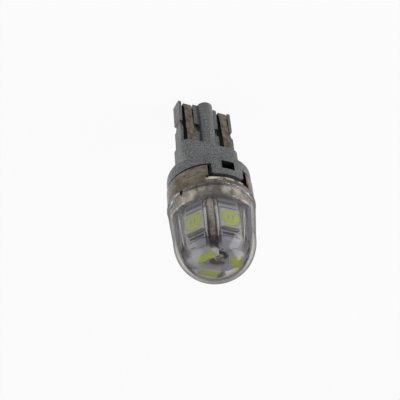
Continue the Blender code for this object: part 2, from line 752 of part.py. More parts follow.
def led(name, outline, recess, seat, height, place, finishes):
    """Package with a recess, and the phosphor that fills it; w runs outwards from the seat."""
    housing, phosphor = finishes
    top = seat + height
    rings = [
        [place(u, v, seat) for u, v in outline],
        [place(u, v, top - LED_EDGE) for u, v in outline],
        [place(u, v, top) for u, v in inset(outline, LED_EDGE / 2)],
    ]
    package = solid(name, loft(rings), housing)
    floor = top - PHOSPHOR_THICKNESS - SEAT
    cutter = helper(f"{name}_recess", add_prism(bmesh.new(), recess, floor, top + OVERLAP, place))
    boolean(package, "DIFFERENCE", cutter)
    gel = add_prism(bmesh.new(), inset(recess, SEAT), floor + SEAT, top, place)
    solid(name.replace("led", "phosphor"), gel, phosphor)


def side_leds(finishes):
    half = SIDE_LED_SIZE / 2
    outline = rectangle(-half, half, SIDE_LED_Z - half, SIDE_LED_Z + half)
    recess = arc((0, SIDE_LED_Z), SIDE_PHOSPHOR_RADIUS, 0, math.tau * (FINE - 1) / FINE, FINE - 1)
    for i in range(SIDES):
        place = facing(math.tau * i / SIDES)
        led(f"side_led_{i + 1}", outline, recess, BOARD_FACE + SEAT, SIDE_LED_HEIGHT, place, finishes)


def end_leds(finishes):
    half_u, half_v = END_LED_LENGTH / 2, END_LED_DEPTH / 2
    outline = rectangle(-half_u, half_u, END_LED_CENTRE - half_v, END_LED_CENTRE + half_v)
    half_u, half_v = END_PHOSPHOR_LENGTH / 2, END_PHOSPHOR_DEPTH / 2
    recess = rectangle(-half_u, half_u, END_LED_CENTRE - half_v, END_LED_CENTRE + half_v)
    for i in range(END_LEDS):
        azimuth = math.tau * i / END_LEDS

        def place(u, v, w, azimuth=azimuth):
            x, y, _ = polar(v, azimuth, 0)
            return (x + u * math.cos(azimuth), y - u * math.sin(azimuth), w)

        led(f"end_led_{i + 1}", outline, recess, END_FACE_Z + SEAT, END_LED_HEIGHT, place, finishes)


def feed_pin(copper):
    low, high = DRIVER_TOP_Z + SEAT, END_FACE_Z
    pin = beside_axis([(0, low), (PIN_RADIUS, low), (PIN_RADIUS, high), (0, high)], 16)
    return solid("feed_pin", pin, copper)


def solder_joint(tin):
    steps = 5
    low = END_FACE_Z + SEAT
    profile = [(0, low)]
    for i in range(steps):
        a = math.pi / 2 * i / steps
        profile.append((SOLDER_RADIUS * math.cos(a), low + SOLDER_HEIGHT * math.sin(a)))
    profile.append((0, low + SOLDER_HEIGHT))
    return solid("solder_joint", beside_axis(profile, 24), tin)


def driver_board(green):
    profile = [(0, DRIVER_Z), (DRIVER_RADIUS, DRIVER_Z), (DRIVER_RADIUS, DRIVER_TOP_Z), (0, DRIVER_TOP_Z)]
    return solid("driver_board", turned(profile, 48), green)


def board_part(name, size, x, face, finish):
    """Part on the driver board: under it for face -1, on top of it for face 1."""
    seat = DRIVER_TOP_Z + SEAT if face > 0 else DRIVER_Z - SEAT
    x_range = (x - size[0] / 2, x + size[0] / 2)
    y_range = (-size[1] / 2, size[1] / 2)
    z_range = sorted((seat, seat + face * size[2]))
    return solid(name, box_of(x_range, y_range, z_range), finish)


def build():
    paint = finish_of("silver_paint", (0.21, 0.22, 0.23), 0.42, 0.6)
    plating = finish_of("contact_plating", (0.30, 0.26, 0.20), 0.35, 1.0)
    metal = finish_of("heat_sink_metal", (0.27, 0.24, 0.19), 0.3, 1.0)
    clear = finish_of("clear_plastic", (0.85, 0.86, 0.86), 0.08, 0.0, 0.3)
    white = finish_of("board_mask", (0.62, 0.61, 0.68), 0.5, 0.0)
    package = finish_of("led_package", (0.75, 0.75, 0.72), 0.4, 0.0)
    phosphor = finish_of("phosphor", (0.48, 0.58, 0.16), 0.6, 0.0)
    tin = finish_of("solder", (0.45, 0.44, 0.42), 0.25, 1.0)
    copper = finish_of("copper", (0.60, 0.32, 0.20), 0.3, 1.0)
    green = finish_of("driver_mask", (0.05, 0.20, 0.09), 0.5, 0.0)
    black = finish_of("part_moulding", (0.02, 0.02, 0.02), 0.5, 0.0)

    base_housing(paint)
    contact_strip("contact_strip_left", -1, plating)
    contact_strip("contact_strip_right", 1, plating)
    heat_sink(metal)
    dome_cap(clear)
    for i in range(SIDES):
        side_board(f"side_board_{i + 1}", math.tau * i / SIDES, white)
    end_board(white)
    side_leds((package, phosphor))
    end_leds((package, phosphor))
    feed_pin(copper)
    solder_joint(tin)
    driver_board(green)
    reach = POCKET_X - PART_GAP
    rectifier = (RECTIFIER_LENGTH, PART_DEPTH, RECTIFIER_HEIGHT)
    board_part("rectifier", rectifier, RECTIFIER_LENGTH / 2 - reach, -1, black)
    chip = (CHIP_LENGTH, PART_DEPTH, CHIP_HEIGHT)
    board_part("driver_chip", chip, reach - CHIP_LENGTH / 2, -1, black)
    resistor = (RESISTOR_LENGTH, RESISTOR_DEPTH, RESISTOR_HEIGHT)
    away = RESISTOR_GAP + RESISTOR_LENGTH / 2
    board_part("resistor_left", resistor, -away, 1, black)
    board_part("resistor_right", resistor, away, 1, black)


for old in list(bpy.data.objects):
    bpy.data.objects.remove(old)
build()
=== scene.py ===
"""Looks of the wedge base LED bulb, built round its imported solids. The bulb stands on its wedge and the
camera hangs above it, upside down, so that the dome points down in the picture."""

import math

import bpy
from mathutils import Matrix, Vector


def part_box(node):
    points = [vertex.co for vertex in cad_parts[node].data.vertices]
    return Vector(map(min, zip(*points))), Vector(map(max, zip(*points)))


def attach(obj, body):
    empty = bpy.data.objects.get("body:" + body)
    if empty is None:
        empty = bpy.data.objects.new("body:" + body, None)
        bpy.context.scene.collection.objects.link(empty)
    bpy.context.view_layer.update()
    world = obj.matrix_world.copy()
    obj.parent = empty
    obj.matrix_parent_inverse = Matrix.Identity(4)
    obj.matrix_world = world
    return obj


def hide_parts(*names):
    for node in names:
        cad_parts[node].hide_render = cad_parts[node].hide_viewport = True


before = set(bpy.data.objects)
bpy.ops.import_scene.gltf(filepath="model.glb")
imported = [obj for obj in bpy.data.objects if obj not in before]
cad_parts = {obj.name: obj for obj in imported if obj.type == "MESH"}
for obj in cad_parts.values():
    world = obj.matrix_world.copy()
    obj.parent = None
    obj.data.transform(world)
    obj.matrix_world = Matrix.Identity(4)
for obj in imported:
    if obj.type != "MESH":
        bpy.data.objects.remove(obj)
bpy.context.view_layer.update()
root = "root"

side_count, end_led_count = 6, 3

# Levels and radii taken from the boxes of the solids
board_face, board_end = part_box("side_board_1")[1][1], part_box("end_board")[1][2]
led_low, led_high = (corner[2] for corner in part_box("side_led_1"))
pin_x, pin_y = ((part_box("feed_pin")[0][axis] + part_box("feed_pin")[1][axis]) / 2 for axis in (0, 1))
dome_rim_z, dome_end_z = (corner[2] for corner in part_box("dome_cap"))
dome_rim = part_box("dome_cap")[1][0]

# Levels and radii inside the solids, which their boxes don't give
wedge_top = 0.0094
slot_inner, slot_outer = 0.00216, 0.00420
tab_outside = 0.00647
window_low, window_high, window_half = 0.0162, 0.01778, 0.00108
socket_low, socket_radius = 0.0153, 0.0057
collar_low = 0.01715
recess_end, recess_floor = 0.01925, 0.0058
relief_end, relief_floor = 0.0199, 0.00634
neck_low, neck_radius = 0.01995, 0.0061
dome_cap_z, dome_cap, dome_wall = 0.02615, 0.006082, 0.00055
bead_height, bead_reach = 0.0004, 0.00007
dome_power = 2.14
rib_centre, rib_radius = 0.0057, 0.00105
rib_low, rib_high = 0.02375, 0.03015
notch_azimuth, notch_radius = math.radians(113), 0.0064


class Wire:
    """One output in a finish; sums on it add nodes to that finish."""

    def __init__(self, finish, socket):
        self.finish, self.socket = finish, socket

    def sum(self, operation, *values):
        return self.finish.add("ShaderNodeMath", {"operation": operation}, dict(enumerate(values)))

    def __add__(self, other):
        return self.sum("ADD", self, other)

    def __radd__(self, other):
        return self.sum("ADD", other, self)

    def __sub__(self, other):
        return self.sum("SUBTRACT", self, other)

    def __rsub__(self, other):
        return self.sum("SUBTRACT", other, self)

    def __mul__(self, other):
        return self.sum("MULTIPLY", self, other)

    def __rmul__(self, other):
        return self.sum("MULTIPLY", other, self)

    def __truediv__(self, other):
        return self.sum("DIVIDE", self, other)

    def __pow__(self, other):
        return self.sum("POWER", self, other)

    def __abs__(self):
        return self.sum("ABSOLUTE", self)

    def sine(self):
        return self.sum("SINE", self)

    def cosine(self):
        return self.sum("COSINE", self)

    def fraction(self):
        return self.sum("FRACT", self)

    def azimuth(self, y):
        """Angle from +Y of a point whose x is this value."""
        return self.sum("ARCTAN2", self, y)

    def most(self, other):
        return self.sum("MAXIMUM", self, other)

    def above(self, level, soft):
        """0 below the level and 1 above it, with a soft step between."""
        settings = {"interpolation_type": "SMOOTHSTEP"}
        ends = {"Value": self, "From Min": level - soft, "From Max": level + soft}
        return self.finish.add("ShaderNodeMapRange", settings, ends)

    def below(self, level, soft):
        return 1 - self.above(level, soft)

    def within(self, low, high, soft):
        return self.above(low, soft) * self.below(high, soft)


class Finish:
    """A material under construction."""

    def __init__(self, name):
        self.material = bpy.data.materials.new(name)
        self.material.use_nodes = True
        self.tree = self.material.node_tree
        self.tree.nodes.clear()

    def add(self, kind, settings=None, sockets=None, out=0):
        node = self.tree.nodes.new(kind)
        for key, value in (settings or {}).items():
            setattr(node, key, value)
        for key, value in (sockets or {}).items():
            if isinstance(value, Wire):
                self.tree.links.new(value.socket, node.inputs[key])
            else:
                node.inputs[key].default_value = value
        return Wire(self, node.outputs[out]) if len(node.outputs) else None

    def place(self):
        return self.add("ShaderNodeTexCoord", out="Object")

    def sixth(self, x, y, turned):
        """Distances beside and along the nearest of six directions. The first one is +Y, turned by a share
        of the angle between two of them."""
        step = math.tau / side_count
        turns = x.azimuth(y) / step + (side_count + 0.5 - turned)
        angle = (turns.fraction() - 0.5) * step
        radius = self.reach(x, y)
        return radius * angle.sine(), radius * angle.cosine()

    def reach(self, x, y):
        """Distance of a point from an upright axis."""
        return (x * x + y * y) ** 0.5

    def split(self, vector):
        node = self.add("ShaderNodeSeparateXYZ", sockets={0: vector}).socket.node
        return [Wire(self, output) for output in node.outputs]

    def stretched(self, vector, scale):
        return self.add("ShaderNodeMapping", sockets={"Vector": vector, "Scale": scale})

    def noise(self, vector, size, detail=2.0, roughness=0.5):
        """Noise with features of about a size in metres."""
        sockets = {"Vector": vector, "Scale": 1 / size, "Detail": detail, "Roughness": roughness}
        return self.add("ShaderNodeTexNoise", sockets=sockets)

    def mix(self, share, colour, other):
        colours = [c if isinstance(c, Wire) else (*c, 1) for c in (colour, other)]
        sockets = {0: share, 6: colours[0], 7: colours[1]}
        return self.add("ShaderNodeMix", {"data_type": "RGBA"}, sockets, out=2)

    def bump(self, height, depth):
        return self.add("ShaderNodeBump", sockets={"Height": height, "Distance": depth, "Strength": 1.0})

    def shader(self, **sockets):
        named = {key.replace("_", " "): value for key, value in sockets.items()}
        if isinstance(named["Base Color"], tuple):
            named["Base Color"] = (*named["Base Color"], 1)
        return self.add("ShaderNodeBsdfPrincipled", sockets=named)

    def done(self, shader):
        self.add("ShaderNodeOutputMaterial", sockets={"Surface": shader})
        return self.material


def silver_paint():
    """Metallic silver paint with flakes. Painted shade: the slots of the wedge, the windows and the round
    socket are painted near black, as if they lay deep in shadow."""
    f = Finish("silver_paint")
    place = f.place()
    x, y, z = f.split(place)
    flakes = f.noise(place, 0.00021, 2, 0.6)
    sparkle = f.noise(place, 0.00016, 1)
    cloud = f.noise(place, 0.0014, 2)
    silver = f.mix(flakes.above(0.5, 0.1), (0.076, 0.077, 0.080), (0.205, 0.207, 0.211))
    silver = f.mix(sparkle.above(0.64, 0.05) * 0.5, silver, (0.46, 0.465, 0.47))
    silver = f.mix(cloud.above(0.5, 0.3) * 0.3, silver, (0.085, 0.086, 0.089))
    # Painted shade: the slots, the window and the round socket are painted near black, rough and not
    # metallic, where they lie in shadow.
    in_slot = abs(x).within(slot_inner, slot_outer, 0.00003) * z.below(wedge_top - 0.00005, 0.00004)
    radius = f.reach(x, y)
    window = abs(x).below(window_half, 0.00002) * z.within(window_low, window_high, 0.00002)
    window = window * radius.below(tab_outside, 0.00002)
    socket = radius.below(socket_radius, 0.00003) * z.above(socket_low, 0.0001)
    painted_shade = in_slot.most(window).most(socket)
    colour = f.mix(painted_shade, silver, (0.006, 0.006, 0.007))
    bump = f.bump(flakes, 0.00002)
    shader = f.shader(
        Base_Color=colour,
        Metallic=0.4 * (1 - painted_shade),
        Roughness=0.34 + 0.16 * flakes + 0.3 * painted_shade,
        Normal=bump,
    )
    return f.done(shader)


def contact_plating():
    """Dull plated strip, worn in streaks along its length."""
    f = Finish("contact_plating")
    place = f.place()
    rub_and_glint = f.noise(f.stretched(place, (1, 1, 0.12)), 0.0002, 3, 0.6)
    stain = f.noise(place, 0.0009, 3)
    spots = f.noise(place, 0.00035, 2).above(0.7, 0.03)
    colour = f.mix(rub_and_glint.above(0.5, 0.25), (0.115, 0.094, 0.072), (0.215, 0.185, 0.148))
    colour = f.mix(stain.above(0.54, 0.12) * 0.7, colour, (0.06, 0.045, 0.03))
    colour = f.mix(spots * 0.6, colour, (0.05, 0.04, 0.03))
    bump = f.bump(rub_and_glint, 0.000008)
    return f.done(f.shader(Base_Color=colour, Metallic=1.0, Roughness=0.3 + 0.25 * stain, Normal=bump))


def heat_sink_metal():
    """Turned metal with a brown tint, turning marks, stains, small pits and scuff marks that also serve as
    painted glints. The relief under the tab gets a painted highlight, and the neck painted highlights and
    painted shade in blotches. The recesses, what lies behind the windows and the part below the collar get
    painted shade."""
    f = Finish("heat_sink_metal")
    place = f.place()
    x, y, z = f.split(place)
    turning = f.noise(f.stretched(place, (0.05, 0.05, 1)), 0.00006, 3, 0.6)
    cloud = f.noise(place, 0.0022, 3, 0.6)
    stain = f.noise(f.stretched(place, (1, 1, 2.2)), 0.0013, 4, 0.65)
    pits = f.noise(place, 0.00045, 3, 0.6).above(0.69, 0.03)
    colour = f.mix(cloud.above(0.5, 0.3), (0.085, 0.071, 0.052), (0.205, 0.177, 0.136))
    colour = f.mix(stain.above(0.58, 0.1) * 0.65, colour, (0.05, 0.037, 0.026))
    colour = f.mix(pits * 0.85, colour, (0.03, 0.025, 0.02))
    radius = f.reach(x, y)
    # Bright scuff marks, which also serve as painted glints on the collar.
    scuff_glints = f.noise(f.stretched(place, (0.5, 0.5, 2)), 0.0006, 3, 0.6).above(0.68, 0.02)
    colour = f.mix(scuff_glints * 0.7, colour, (0.50, 0.45, 0.38))
    # Painted highlight: the relief floor below the tab is made pale in blotches.
    rub_and_glint = radius.below(relief_floor, 0.00003) * z.within(recess_end, relief_end, 0.00003)
    colour = f.mix(rub_and_glint * cloud.above(0.5, 0.06), colour, (0.62, 0.56, 0.46))
    # Painted highlights and painted shade: the neck is made near white and near black in blotches.
    neck = radius.below(neck_radius, 0.00005) * z.above(neck_low, 0.00003)
    neck_glint_and_shade_noise = f.noise(f.stretched(place, (1, 1, 0.5)), 0.0023, 3, 0.6)
    neck_glints_and_shade = f.mix(neck_glint_and_shade_noise.above(0.5, 0.12), (0.07, 0.05, 0.037), (0.72, 0.66, 0.56))
    colour = f.mix(neck * 0.85, colour, neck_glints_and_shade)
    # Painted shade: behind the windows, on the recess floors and below the collar the metal is painted near
    # black, rough and not metallic.
    window = abs(x).below(window_half + 0.00012, 0.00004) * z.below(window_high + 0.00007, 0.00004)
    window = window * radius.below(recess_floor + 0.0006, 0.0001)
    recess = radius.below(recess_floor + 0.00006, 0.00003)
    recess = recess * z.within(collar_low, recess_end + 0.00003, 0.00002)
    dark = window.most(recess).most(z.below(collar_low - 0.0001, 0.00004))
    colour = f.mix(dark, colour, (0.009, 0.008, 0.007))
    bump = f.bump(turning + 0.8 * cloud + 0.5 * stain - pits, 0.00003)
    shader = f.shader(
        Base_Color=colour,
        Metallic=1.0 - 0.95 * dark,
        Roughness=0.16 + 0.14 * turning + 0.3 * pits + 0.12 * stain + 0.3 * dark,
        Normal=bump,
    )
    return f.done(shader)


def clear_plastic():
    """Clear moulding with painted shade: darkened where it is seen edge on, with dark brown lines, darker
    flanks and dark tips on its ribs. Lamp light and bounced light pass straight through it."""
    f = Finish("clear_plastic")
    place = f.place()
    x, y, z = f.split(place)
    ripple = f.noise(place, 0.0028, 1)
    specks = f.noise(place, 0.00035, 3, 0.7)
    # Painted shade: the plastic turns dark brown where it is seen edge on.
    edge_on = f.add("ShaderNodeLayerWeight", sockets={"Blend": 0.5}, out="Facing")
    colour = f.mix(edge_on.above(0.45, 0.4), (0.92, 0.92, 0.91), (0.205, 0.18, 0.155))
    beside, outwards = f.sixth(x, y, 0.5)
    across = abs(beside)
    off = outwards - rib_centre
    below_rib = (rib_low - z).most(0)
    from_rib = (across * across + off * off + below_rib * below_rib) ** 0.5
    core_half, line_half, flank_inner = 0.00032, 0.00052, 0.0005
    tip_half, tip_low, tip_high, tip_inner = 0.0006, 0.0289, 0.0302, 0.0042
    on_rib = from_rib.within(rib_radius - 0.00007, rib_radius + 0.00007, 0.00002)
    flank = across.within(flank_inner, rib_radius + 0.00005, 0.00006)
    flank = flank * z.within(rib_low - 0.0008, rib_high - 0.00025, 0.0002)
    line = on_rib * across.within(core_half + 0.00004, line_half, 0.00004)
    tip = across.below(tip_half, 0.0002) * z.within(tip_low, tip_high, 0.0003)
    tip = tip * f.reach(x, y).above(tip_inner, 0.0001)
    # Painted shade: darker rib flanks, dark lines along the rib edges and dark rib tips stand in for the
    # shade that refraction and internal reflection give the ribs.
    colour = f.mix(flank * 0.85, colour, (0.17, 0.155, 0.14))
    colour = f.mix(line.most(tip) * 0.93, colour, (0.030, 0.022, 0.018))
    core = on_rib * across.below(core_half, 0.00008) * specks.above(0.5, 0.05)
    colour = f.mix(core * 0.6, colour, (0.30, 0.25, 0.22))
    glass = f.shader(
        Base_Color=colour,
        Roughness=0.02 + 0.05 * specks.above(0.62, 0.08),
        Transmission_Weight=1.0,
        IOR=1.49,
        Normal=f.bump(ripple, 0.00002),
    )
    # Painted shade: seen edge on, a dark see-through layer takes the place of part of the glass.
    edge_shade = f.add("ShaderNodeBsdfTransparent", sockets={"Color": (0.27, 0.255, 0.235, 1)})
    glass = f.add("ShaderNodeMixShader", sockets={0: edge_on.above(0.72, 0.2) * 0.75, 1: glass, 2: edge_shade})
    rays = f.add("ShaderNodeLightPath").socket.node.outputs
    passing = Wire(f, rays["Is Shadow Ray"]).most(Wire(f, rays["Is Diffuse Ray"]))
    through = f.add("ShaderNodeBsdfTransparent", sockets={"Color": (0.8, 0.8, 0.79, 1)})
    return f.done(f.add("ShaderNodeMixShader", sockets={0: passing, 1: glass, 2: through}))


def board_mask():
    """White solder mask, a little violet. Painted shade: dark bands on the side boards, near their top
    under the end board's rim and at their foot by the neck. The end board has a dark ring, brown flux and
    short dark strokes."""
    f = Finish("board_mask")
    place = f.place()
    x, y, z = f.split(place)
    grain = f.noise(place, 0.00025, 3)
    wavy = f.noise(place, 0.0006, 3)
    colour = f.mix(grain, (0.50, 0.50, 0.585), (0.58, 0.58, 0.665))
    on_end = z.above(board_end - 0.00002, 0.00001)
    rim_shade_low, rim_shade_high, rim_shade_half = 0.0278, 0.02818, 0.00115
    foot_low, foot_high, foot_half = 0.02245, 0.0230, 0.0015
    across = abs(f.sixth(x, y, 0)[0])
    # Painted shade: a dark band near the top of each side board under the end board's rim, and one at its
    # foot by the neck.
    rim_shade = across.below(rim_shade_half, 0.00003) * z.within(rim_shade_low, rim_shade_high, 0.00003)
    foot = across.below(foot_half, 0.00005) * z.within(foot_low, foot_high, 0.00004)

    def mark(from_x, from_y, to_x, to_y, half_width):
        """A straight stroke with soft ends."""
        length = math.hypot(to_x - from_x, to_y - from_y)
        ux, uy = (to_x - from_x) / length, (to_y - from_y) / length
        along = (x - from_x) * ux + (y - from_y) * uy
        beside = abs((x - from_x) * uy - (y - from_y) * ux)
        return along.within(0, length, 0.00004) * beside.below(half_width, 0.00003)

    def patch(centre_x, centre_y, half_x, half_y):
        """A stain with an uneven edge."""
        off = f.reach((x - centre_x) / half_x, (y - centre_y) / half_y)
        return (off + 0.8 * (wavy - 0.5)).below(1, 0.12)

    flux = patch(-0.0006, 0.00115, 0.0013, 0.0006).most(patch(-0.00125, -0.0007, 0.0004, 0.0004))
    ring_inner, ring_outer = 0.00090, 0.00126
    from_pin = f.reach(x - pin_x, y - pin_y) + 0.0003 * (wavy - 0.5)
    marks = from_pin.within(ring_inner, ring_outer, 0.00003)
    strokes = (
        (0.00425, -0.00084, 0.00390, -0.00144, 0.00012),
        (0.00023, -0.00162, 0.00012, -0.00241, 0.00009),
        (-0.00060, -0.00180, -0.00080, -0.00168, 0.00015),
        (-0.00115, -0.00275, -0.00195, -0.00320, 0.00007),
        (0.00145, -0.00286, 0.00060, -0.00235, 0.00011),
        (0.00050, 0.00035, 0.00095, 0.00135, 0.00008),
        (-0.00235, 0.00085, -0.00260, 0.00095, 0.00008),
    )
    for stroke in strokes:
        marks = marks.most(mark(*stroke))
    colour = f.mix(flux * on_end * 0.9, colour, (0.10, 0.062, 0.035))
    # The end board's ring and strokes are joined here by the painted shade bands of the side boards.
    marks = (marks * on_end).most(rim_shade).most(foot * 0.8)
    colour = f.mix(marks * 0.95, colour, (0.014, 0.012, 0.011))
    bump = f.bump(grain, 0.000004)
    return f.done(f.shader(Base_Color=colour, Roughness=0.38 + 0.15 * grain, Normal=bump))


def led_package():
    """White moulding, faintly grained."""
    f = Finish("led_package")
    place = f.place()
    grain = f.noise(place, 0.0003, 3)
    colour = f.mix(grain, (0.64, 0.64, 0.61), (0.73, 0.73, 0.70))
    bump = f.bump(grain, 0.000003)
    return f.done(f.shader(Base_Color=colour, Roughness=0.35 + 0.1 * grain, Normal=bump))


def phosphor():
    """Yellow-green gel with fine grains; on the side LEDs two wires and a seam show faintly in it."""
    f = Finish("phosphor")
    place = f.place()
    grains = f.noise(place, 0.00008, 3, 0.7)
    cloud = f.noise(place, 0.0010, 2)
    colour = f.mix(grains, (0.62, 0.75, 0.10), (0.76, 0.90, 0.17))
    colour = f.mix(cloud.above(0.5, 0.3) * 0.5, colour, (0.68, 0.77, 0.14))
    x, y, z = f.split(place)
    beside, outwards = f.sixth(x, y, 0)
    across = abs(beside)
    up = z - (led_low + led_high) / 2
    wire_offset, wire_half_width, wire_half_length = 0.00034, 0.00006, 0.0004
    seam_up, seam_half_width, seam_half_length = 0.00075, 0.00003, 0.0009
    wire = abs(across - wire_offset).below(wire_half_width, 0.00003)
    wire = wire * abs(up).below(wire_half_length, 0.00005)
    seam = abs(up - seam_up).below(seam_half_width, 0.00003) * across.below(seam_half_length, 0.0001)
    on_side = outwards.above(board_face + 0.0001, 0.0001)
    colour = f.mix(wire.most(seam * 0.6) * on_side * 0.75, colour, (0.16, 0.19, 0.06))
    bump = f.bump(grains, 0.000006)
    return f.done(f.shader(Base_Color=colour, Roughness=0.4 + 0.2 * grains, Normal=bump))


def solder():
    """Bright rippled solder with a dark foot."""
    f = Finish("solder")
    place = f.place()
    x, y, _ = f.split(place)
    ripple = f.noise(place, 0.0005, 2)
    foot_inner = 0.00084
    foot = f.reach(x - pin_x, y - pin_y).above(foot_inner, 0.00004)
    colour = f.mix(ripple.above(0.5, 0.15), (0.16, 0.155, 0.15), (0.62, 0.61, 0.59))
    colour = f.mix(foot * 0.9, colour, (0.02, 0.017, 0.015))
    bump = f.bump(ripple, 0.00006)
    return f.done(f.shader(Base_Color=colour, Metallic=1.0, Roughness=0.16 + 0.25 * ripple, Normal=bump))


def terminal_metal():
    """Dull grey-brown solder on the LEDs' ends."""
    f = Finish("terminal_metal")
    place = f.place()
    ripple = f.noise(place, 0.0003, 3)
    colour = f.mix(ripple, (0.05, 0.043, 0.04), (0.20, 0.18, 0.165))
    bump = f.bump(ripple, 0.00002)
    return f.done(f.shader(Base_Color=colour, Metallic=0.8, Roughness=0.3 + 0.3 * ripple, Normal=bump))


def copper():
    """Bare drawn wire."""
    f = Finish("copper")
    streaks = f.noise(f.stretched(f.place(), (1, 1, 0.1)), 0.0001, 2)
    colour = f.mix(streaks, (0.50, 0.25, 0.14), (0.68, 0.38, 0.24))
    return f.done(f.shader(Base_Color=colour, Metallic=1.0, Roughness=0.25 + 0.2 * streaks))


def driver_mask():
    """Green solder mask."""
    f = Finish("driver_mask")
    weave = f.noise(f.place(), 0.0002, 2)
    colour = f.mix(weave, (0.02, 0.10, 0.045), (0.04, 0.17, 0.08))
    return f.done(f.shader(Base_Color=colour, Roughness=0.35 + 0.2 * weave))


def part_moulding():
    """Black moulding of the parts on the driver board."""
    f = Finish("part_moulding")
    grain = f.noise(f.place(), 0.00012, 3)
    colour = f.mix(grain, (0.012, 0.012, 0.013), (0.035, 0.035, 0.036))
    bump = f.bump(grain, 0.000004)
    return f.done(f.shader(Base_Color=colour, Roughness=0.45 + 0.3 * grain, Normal=bump))


def select_only(piece):
    bpy.ops.object.select_all(action="DESELECT")
    piece.select_set(True)
    bpy.context.view_layer.objects.active = piece


def apply_all(piece):
    select_only(piece)
    for modifier in list(piece.modifiers):
        bpy.ops.object.modifier_apply(modifier=modifier.name)


def smooth(piece, degrees=32):
    select_only(piece)
    bpy.ops.object.shade_smooth_by_angle(angle=math.radians(degrees))


def finished(piece, name, finish, nodes):
    """Names a piece, dresses it and puts it in place of its nodes."""
    piece.name = name
    piece.data.name = name
    piece.data.materials.clear()
    piece.data.materials.append(finish)
    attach(piece, root)
    if nodes:
        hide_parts(*nodes)


def eased(node, name, finish, width, pitted=False):
    """A solid with its edges rounded and its curves smooth. A flat face becomes one face, or a ring of
    four-cornered faces where a recess pits it."""
    flat, squarish, sharp = math.radians(0.3), math.radians(60), math.radians(30)
    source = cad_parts[node]
    piece = bpy.data.objects.new(name, source.data.copy())
    bpy.context.scene.collection.objects.link(piece)
    select_only(piece)
    bpy.ops.mesh.customdata_custom_splitnormals_clear()
    bpy.ops.object.mode_set(mode="EDIT")
    bpy.ops.mesh.select_all(action="SELECT")
    bpy.ops.mesh.remove_doubles(threshold=0.000001)
    if pitted:
        bpy.ops.mesh.tris_convert_to_quads(face_threshold=flat, shape_threshold=squarish)
    else:
        bpy.ops.mesh.dissolve_limited(angle_limit=flat)
    bpy.ops.object.mode_set(mode="OBJECT")
    bevel = piece.modifiers.new("edges", "BEVEL")
    bevel.width, bevel.segments = width, 2
    bevel.limit_method, bevel.angle_limit = "ANGLE", sharp
    bevel.miter_outer = "MITER_ARC"
    apply_all(piece)
    smooth(piece)
    finished(piece, name, finish, [node])
    return piece


def turned_up(profile, segments):
    """A closed body: a ring drawn up and resized from one (radius, z) to the next, to a pole."""
    radius, z = profile[0]
    bpy.ops.object.select_all(action="DESELECT")
    bpy.ops.mesh.primitive_circle_add(vertices=segments, radius=radius, location=(0, 0, z))
    piece = bpy.context.object
    bpy.ops.object.transform_apply(location=True, rotation=True, scale=True)
    bpy.ops.object.mode_set(mode="EDIT")
    bpy.ops.mesh.select_all(action="SELECT")
    for next_radius, next_z in profile[1:]:
        bpy.ops.mesh.extrude_edges_move(TRANSFORM_OT_translate={"value": (0, 0, next_z - z)})
        share = next_radius / radius
        bpy.ops.transform.resize(value=(share, share, 1), center_override=(0, 0, next_z))
        radius, z = next_radius, next_z
    bpy.ops.mesh.merge(type="CENTER")
    bpy.ops.mesh.select_all(action="DESELECT")
    bpy.ops.mesh.select_non_manifold()
    bpy.ops.mesh.edge_face_add()
    bpy.ops.mesh.select_all(action="SELECT")
    bpy.ops.mesh.normals_make_consistent(inside=False)
    bpy.ops.object.mode_set(mode="OBJECT")
    return piece


def dome_section(inwards, low):
    """Section of the dome's outside, or of a surface a wall's thickness inwards of it: a bead at the rim of
    the outside, a straight taper up the side and a rounded cap."""
    straight_steps, cap_steps, pole = 6, 30, 0.00001
    section = [(dome_rim - inwards, low)]
    if inwards == 0:
        section.append((dome_rim, low + bead_height / 2))
        section.append((dome_rim - bead_reach, low + bead_height))
    start_r, start_z = section[-1]
    cap_r = dome_cap - inwards
    for i in range(1, straight_steps + 1):
        share = i / straight_steps
        section.append((start_r + (cap_r - start_r) * share, start_z + (dome_cap_z - start_z) * share))
    height = dome_end_z - dome_cap_z - inwards
    for i in range(1, cap_steps):
        rise = math.sin(math.pi / 2 * i / cap_steps)
        radius = cap_r * (1 - rise**dome_power) ** (1 / dome_power)
        section.append((radius, dome_cap_z + height * rise))
    section.append((pole, dome_cap_z + height))
    return section


def cut(piece, tool, operation="DIFFERENCE"):
    select_only(piece)
    modifier = piece.modifiers.new("cut", "BOOLEAN")
    modifier.operation, modifier.object = operation, tool
    bpy.ops.object.modifier_apply(modifier=modifier.name)
    bpy.data.objects.remove(tool)


def rib(azimuth):
    """Round-ended bar, drawn out of a ball."""
    x, y = rib_centre * math.sin(azimuth), rib_centre * math.cos(azimuth)
    bpy.ops.object.select_all(action="DESELECT")
    place = (x, y, rib_low)
    bpy.ops.mesh.primitive_uv_sphere_add(segments=32, ring_count=16, radius=rib_radius, location=place)
    piece = bpy.context.object
    bpy.ops.object.transform_apply(location=True, rotation=True, scale=True)
    bpy.ops.object.mode_set(mode="EDIT")
    bpy.ops.mesh.select_all(action="DESELECT")
    bpy.ops.object.mode_set(mode="OBJECT")
    just_above = rib_low + 0.00002
    for vertex in piece.data.vertices:
        vertex.select = vertex.co.z > just_above
    bpy.ops.object.mode_set(mode="EDIT")
    bpy.ops.transform.translate(value=(0, 0, rib_high - rib_low))
    bpy.ops.object.mode_set(mode="OBJECT")
    return piece


